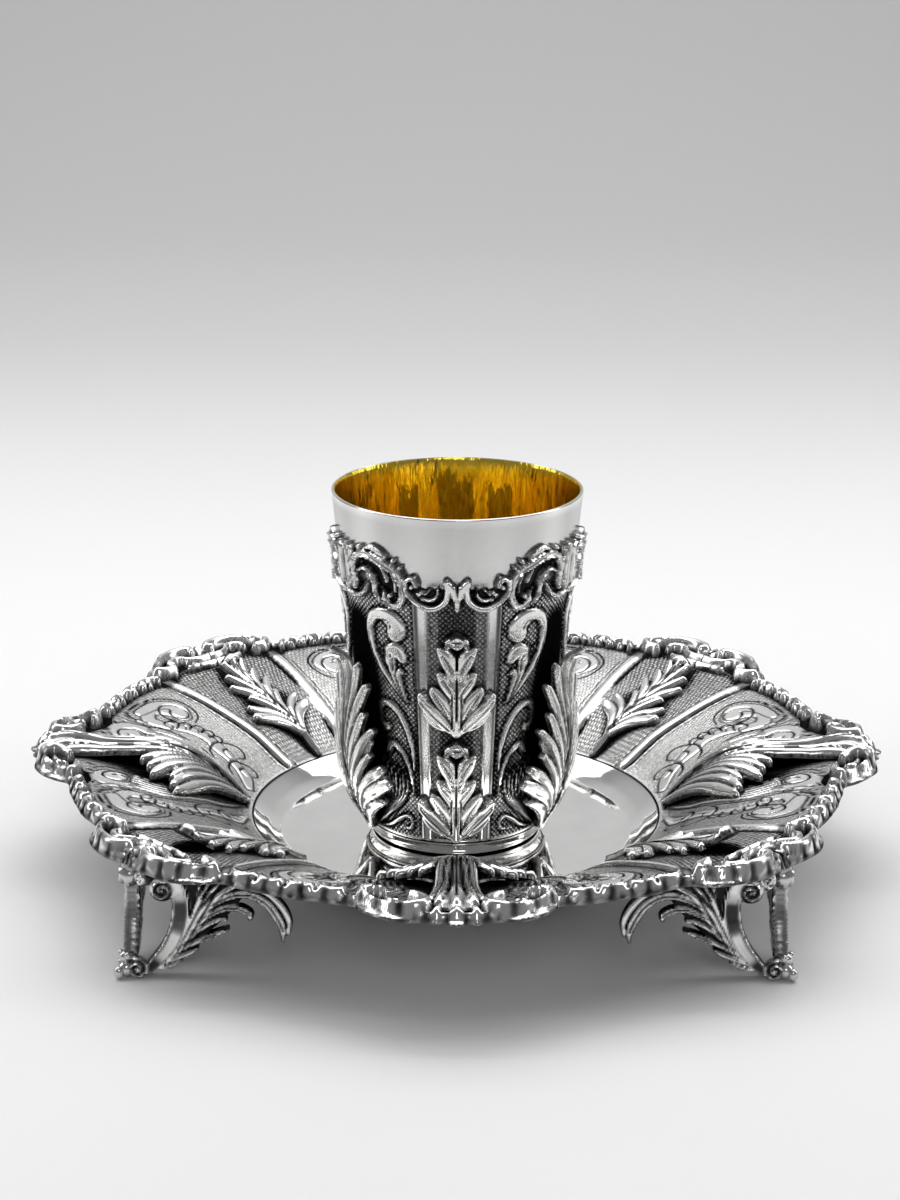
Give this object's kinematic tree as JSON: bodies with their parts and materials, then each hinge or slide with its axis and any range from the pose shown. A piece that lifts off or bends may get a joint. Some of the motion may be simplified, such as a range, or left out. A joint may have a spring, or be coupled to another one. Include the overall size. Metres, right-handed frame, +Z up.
{
  "type": "kiddush cup",
  "caption": "Tapered silver kiddush cup with applied acanthus leaves, standing in a lobed dish on scrolled leaf feet.",
  "frame": {"origin": "on the ground under the centre of the dish and cup", "axes": "+Z up along the cup's axis; -Y is the front, towards one narrow panel of the cup and one big leaf of the dish"},
  "size_m": [0.2, 0.2, 0.0904],
  "materials": {
    "silver_polished": "polished",
    "silver_oxidised": "satin",
    "gilt_lining": "polished"
  },
  "bodies": {
    "root": {"cup_body": "silver_polished", "cup_foot_ring": "silver_polished", "cup_border": "silver_oxidised", "cup_leaf_1": "silver_polished", "cup_leaf_2": "silver_polished", "cup_leaf_3": "silver_polished", "cup_spray_lower_1": "silver_oxidised", "cup_spray_lower_2": "silver_oxidised", "cup_spray_lower_3": "silver_oxidised", "cup_spray_upper_1": "silver_oxidised", "cup_spray_upper_2": "silver_oxidised", "cup_spray_upper_3": "silver_oxidised", "dish": "silver_polished", "dish_border": "silver_oxidised", "dish_big_leaf_1": "silver_polished", "dish_big_leaf_2": "silver_polished", "dish_big_leaf_3": "silver_polished", "dish_big_leaf_4": "silver_polished", "dish_small_leaf_1": "silver_polished", "dish_small_leaf_2": "silver_polished", "dish_small_leaf_3": "silver_polished", "dish_small_leaf_4": "silver_polished", "foot_1": "silver_oxidised", "foot_2": "silver_oxidised", "foot_3": "silver_oxidised", "foot_4": "silver_oxidised"}
  },
  "joints": []
}
